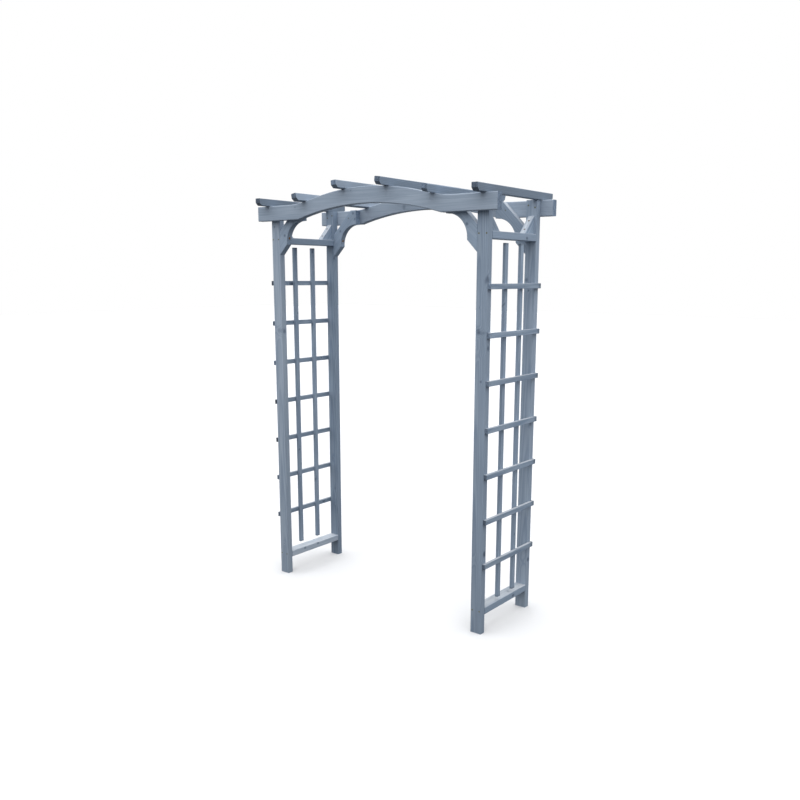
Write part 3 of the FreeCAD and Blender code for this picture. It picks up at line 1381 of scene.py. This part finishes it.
@dataclass(frozen=True)
class Studio:
    """The plain pale floor, the soft light and the camera.

    Attributes:
        camera_place: where the camera stands.
        yaw_deg: how far it is turned from straight back, to the right.
        pitch_deg: how far it looks up.
        roll_deg: how far it is tipped.
        focal_px: focal length in pixels of the picture.
        centre_px: where its axis meets the picture.
        picture_px: width and height of the picture.
        sky_level: light from the brightest part of the sky.
        horizon_level: light from the horizon.
        sky_lean_deg: how far the brightest part lies from the zenith, towards the front.
        floor_hex: colour of the floor as the camera sees it.
        bounce_hex: colour of the floor as the timbers see it.
        floor_size: width of the floor.
    """

    camera_place: tuple[float, float, float] = (2.6633, -3.2547, 1.6635)
    yaw_deg: float = -37.695
    pitch_deg: float = -10.898
    roll_deg: float = 0.298
    focal_px: float = 820.2
    centre_px: tuple[float, float] = (420.7, 432.6)
    picture_px: float = 800.0
    sky_level: float = 2.75
    horizon_level: float = 0.55
    sky_lean_deg: float = 6.0
    floor_hex: str = "#C9CACC"
    bounce_hex: str = "#37393B"
    floor_size: float = 60.0

    def camera(self) -> None:
        """Sets up the camera."""
        yaw, pitch, roll = (math.radians(turn) for turn in (self.yaw_deg, self.pitch_deg, self.roll_deg))
        ahead = Vector((math.sin(yaw) * math.cos(pitch), math.cos(yaw) * math.cos(pitch), math.sin(pitch)))
        level = Vector((math.cos(yaw), -math.sin(yaw), 0.0))
        upward = level.cross(ahead)
        right = level * math.cos(roll) + upward * math.sin(roll)
        above = upward * math.cos(roll) - level * math.sin(roll)
        data = bpy.data.cameras.new("camera")
        data.lens = data.sensor_width * self.focal_px / self.picture_px
        data.shift_x = 0.5 - self.centre_px[0] / self.picture_px
        data.shift_y = self.centre_px[1] / self.picture_px - 0.5
        camera = bpy.data.objects.new("camera", data)
        turned = Matrix((right, above, -ahead)).transposed().to_4x4()
        camera.matrix_world = Matrix.Translation(self.camera_place) @ turned
        bpy.context.scene.collection.objects.link(camera)
        bpy.context.scene.camera = camera

    def _seen(self, tree: Tree) -> Socket:
        """Tells rays by which the floor or sky is seen from those that light the arbor.

        Args:
            tree: the node tree of the floor's material or of the world.

        Returns:
            1 for rays from the camera or a glossy or clear surface, and 0 for other rays.
        """
        path = add_node(tree, "ShaderNodeLightPath")
        inputs = {0: path.outputs["Is Camera Ray"], 1: path.outputs["Is Glossy Ray"]}
        two = add_node(tree, "ShaderNodeMath", inputs, operation="ADD")
        inputs = {0: two.outputs[0], 1: path.outputs["Is Transmission Ray"]}
        return add_node(tree, "ShaderNodeMath", inputs, operation="ADD", use_clamp=True).outputs[0]

    def sky(self) -> None:
        """Lights the arbor as a bright overcast sky does, over a white background."""
        world = bpy.data.worlds.new("overcast_sky")
        bpy.context.scene.world = world
        tree = empty_tree(world)
        place = add_node(tree, "ShaderNodeTexCoord")
        lean = math.radians(self.sky_lean_deg)
        inputs = {0: place.outputs["Generated"], 1: (0.0, -math.sin(lean), math.cos(lean))}
        height = add_node(tree, "ShaderNodeVectorMath", inputs, operation="DOT_PRODUCT")
        inputs = {"Value": height.outputs["Value"], "To Min": self.horizon_level, "To Max": self.sky_level}
        level = add_node(tree, "ShaderNodeMapRange", inputs)
        inputs = {"Color": linear(WHITE_HEX), "Strength": level.outputs[0]}
        light = add_node(tree, "ShaderNodeBackground", inputs)
        white = add_node(tree, "ShaderNodeBackground", {"Color": linear(WHITE_HEX), "Strength": 1.0})
        inputs = {0: self._seen(tree), 1: light.outputs[0], 2: white.outputs[0]}
        mixed = add_node(tree, "ShaderNodeMixShader", inputs)
        add_node(tree, "ShaderNodeOutputWorld", {"Surface": mixed.outputs[0]})

    def floor(self) -> None:
        """Lays the floor, which looks white and throws little light back up."""
        mesh = bmesh.new()
        bmesh.ops.create_grid(mesh, x_segments=1, y_segments=1, size=self.floor_size / 2)
        data = bpy.data.meshes.new("floor")
        mesh.to_mesh(data)
        mesh.free()
        material = bpy.data.materials.new("pale_floor")
        tree = empty_tree(material)
        dim = add_node(tree, "ShaderNodeBsdfDiffuse", {"Color": linear(self.bounce_hex)})
        pale = add_node(tree, "ShaderNodeBsdfDiffuse", {"Color": linear(self.floor_hex)})
        inputs = {0: self._seen(tree), 1: dim.outputs[0], 2: pale.outputs[0]}
        mixed = add_node(tree, "ShaderNodeMixShader", inputs)
        add_node(tree, "ShaderNodeOutputMaterial", {"Surface": mixed.outputs[0]})
        data.materials.append(material)
        floor = bpy.data.objects.new("floor", data)
        bpy.context.scene.collection.objects.link(floor)
        floor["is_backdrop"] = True

    def build(self) -> None:
        """Sets up the camera, the floor and the light."""
        self.camera()
        self.sky()
        self.floor()
        bpy.context.scene.view_settings.view_transform = "Standard"


# How bright the stain dried, as factors: on the ends of the level laths from the lowest, and on
# the gussets, the braces and the ends of the braces in the order of CORNERS.
LATH_SOAKS = {
    Side.LEFT: (0.9, 1.2, 0.4, 0.4, 1.8, 1.3, 0.5),
    Side.RIGHT: (1.14, 0.83, 1.04, 1.46, 1.53, 1.48, 1.98),
}
GUSSET_TONES = dict(zip(CORNERS, (1.1, 1.1, 0.85, 1.1)))
BRACE_TONES = dict(zip(CORNERS, (1.03, 1.09, 1.02, 0.95)))
BRACE_SOAKS = dict(zip(CORNERS, (1.3, 1.9, 1.3, 1.3)))


def timber_stocks() -> dict[str, Stock]:
    """Gives the kind of each timber that keeps the shape of its solid.

    Returns:
        The kinds by the name of the timber's node.
    """
    post = Stock(UP, BACKWARDS, figure=1.4)
    rail = Stock(BACKWARDS, UP)
    beam = Stock(ACROSS, BACKWARDS, figure=0.4)
    # Each stock's fade also carries a painted sky sheen on its upright faces and those that look up.
    stocks = {
        "post_front_left": replace(post, tone=1.05, fading=(0.3, 1.0)),
        "post_front_right": replace(post, tone=0.95, fading=(0.1, 1.0)),
        "post_back_left": replace(post, tone=0.9),
        "post_back_right": replace(post, tone=1.08, fading=(0.2, 1.0)),
        "upper_rail_left": rail,
        "upper_rail_right": rail,
        "bottom_rail_left": replace(rail, tone=1.28, fading=(0.5, 0.9)),
        "bottom_rail_right": rail,
        "beam_front": replace(beam, tone=0.98, soak=1.17, fading=(0.25, 0.5)),
        "beam_back": replace(beam, tone=1.05, soak=1.23, fading=(0.3, 0.5)),
    }
    # Tone, soak and fade with painted sky sheen of the upright faces of each rafter, from the left.
    rafters = (
        (0.64, 0.82, 0.0),
        (1.0, 0.73, 0.25),
        (0.92, 1.25, 0.25),
        (0.81, 0.9, 0.0),
        (0.9, 0.97, 0.0),
        (0.64, 0.9, 0.0),
    )
    # Fade with painted sky sheen on the tops of the rafters.
    rafter_top_fading_and_sheen = 0.3
    for name, (tone, soak, fading) in zip(RAFTERS, rafters):
        stocks[name] = replace(rail, tone=tone, soak=soak, fading=(fading, rafter_top_fading_and_sheen))
    return stocks


def known_knots() -> dict[str, tuple[Knot, ...]]:
    """Gives the knots that stand out on the real timbers.

    Returns:
        The knots by the name of their timber's node, or of their lath.
    """
    arris = Vector((1.0, -1.0, 1.8)).normalized()
    broad = Vector((0.0, 1.0, 0.8)).normalized()
    narrow = Vector((1.0, 0.0, 0.8)).normalized()
    slant = Vector((1.0, 0.9, 0.0)).normalized()
    steep = Vector((0.0, 1.0, 2.5)).normalized()
    level = Vector((1.0, 0.25, 0.1)).normalized()
    return {
        "post_front_right": (
            Knot(Vector((0.679, -0.218, 1.645)), arris, 7.5, 0.65),
            Knot(Vector((0.637, -0.220, 1.419)), broad, 7.0),
            Knot(Vector((0.650, -0.220, 1.411)), level, 5.5, 0.35),
            Knot(Vector((0.680, -0.205, 1.345)), narrow, 6.5, 0.7),
            Knot(Vector((0.654, -0.220, 1.196)), broad, 3.5),
            Knot(Vector((0.680, -0.200, 0.392)), narrow, 8.5, 0.9),
        ),
        "post_front_left": (
            Knot(Vector((-0.636, -0.220, 1.366)), slant, 9.0, 0.3),
            Knot(Vector((-0.621, -0.204, 1.360)), narrow, 6.0, 0.5),
        ),
        "post_back_left": (
            Knot(Vector((-0.621, 0.188, 1.754)), arris, 4.5),
            Knot(Vector((-0.652, 0.187, 0.592)), steep, 3.5, 0.5),
            Knot(Vector((-0.639, 0.187, 0.411)), steep, 3.5, 0.5),
        ),
        "post_back_right": (
            Knot(Vector((0.635, 0.187, 1.642)), broad, 5.5),
            Knot(Vector((0.679, 0.188, 0.952)), arris, 4.5),
            Knot(Vector((0.680, 0.203, 0.254)), narrow, 6.5, 0.8),
        ),
        "beam_back": (Knot(Vector((-0.140, 0.220, 2.012)), broad, 7.0, 0.4),),
        "upper_rail_right": (Knot(Vector((0.680, 0.103, 1.830)), slant, 5.0, 0.75),),
        "bottom_rail_right": (
            Knot(Vector((0.654, 0.058, 0.123)), UP, 5.0),
            Knot(Vector((0.680, 0.067, 0.104)), slant, 6.0, 0.75),
        ),
        "bottom_rail_left": (
            Knot(Vector((-0.672, 0.033, 0.123)), UP, 4.0),
            Knot(Vector((-0.621, 0.017, 0.117)), slant, 5.0),
            Knot(Vector((-0.621, -0.087, 0.115)), slant, 5.0),
        ),
        "level_lath_left_7": (Knot(Vector((-0.680, -0.089, 1.611)), slant, 8.0, 0.8),),
        "level_lath_left_5": (Knot(Vector((-0.680, 0.131, 1.191)), slant, 3.5),),
        "level_lath_left_1": (Knot(Vector((-0.680, 0.131, 0.335)), slant, 6.0, 0.65),),
        "upright_lath_left_1": (Knot(Vector((-0.665, -0.071, 0.686)), narrow, 4.5),),
        "upright_lath_left_2": (
            Knot(Vector((-0.665, 0.060, 1.783)), narrow, 3.0),
            # A dark spot just below where the sixth level lath crosses, drawn as a knot.
            Knot(Vector((-0.665, 0.051, 1.388)), narrow, 6.0, 0.5),
            Knot(Vector((-0.665, 0.051, 0.490)), narrow, 6.0, 0.5),
        ),
        "upright_lath_right_2": (Knot(Vector((0.680, 0.046, 0.584)), narrow, 5.0, 0.65),),
    }


def brace_knots(side: Side, end: End) -> tuple[Knot, ...]:
    """Gives the knots that stand out on one knee brace.

    Args:
        side: the brace's side of the walkway.
        end: the brace's end of the walkway.

    Returns:
        The knots.
    """
    # X and Z of each in metres, and its radius in millimetres.
    places = {
        (Side.RIGHT, End.FRONT): ((0.566, 1.882, 5.5),),
        (Side.RIGHT, End.BACK): (),
        (Side.LEFT, End.FRONT): ((-0.584, 1.860, 5.5),),
        (Side.LEFT, End.BACK): ((-0.474, 1.992, 5.5), (-0.459, 1.961, 5.5), (-0.570, 1.899, 5.0)),
    }
    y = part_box(f"brace_{end.word}_{side.word}")[0].y
    return tuple(Knot(Vector((x, y, z)), BACKWARDS, radius) for x, z, radius in places[side, end])


def write_sizes() -> None:
    """Puts the box of the solids and the box of what shows into lists of corners."""
    boxes = {"cad": cad_box, "visual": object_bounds()}
    sizes = {name: [list(corner) for corner in box] for name, box in boxes.items()}


def main() -> None:
    """Builds the studio and then the arbor, from the ground up."""
    logging.basicConfig(level=logging.INFO, format="%(name)s: %(message)s")
    Studio().build()
    mill = Sawmill()
    stain = StainedSoftwood()
    knots = known_knots()
    Timbers(timber_stocks(), knots).dress(mill, stain)
    for side in Side:
        for end in End:
            corner = side, end
            brace = KneeBrace(*corner, brace_knots(*corner), BRACE_TONES[corner], BRACE_SOAKS[corner])
            brace.build(mill, stain)
            Gusset(*corner, GUSSET_TONES[corner]).build(mill, stain)
        Lattice(side, LATH_SOAKS[side], knots).build(mill, stain)
    Fixings().build(PassivatedSteel())
    write_sizes()


if __name__ == "__main__":
    main()
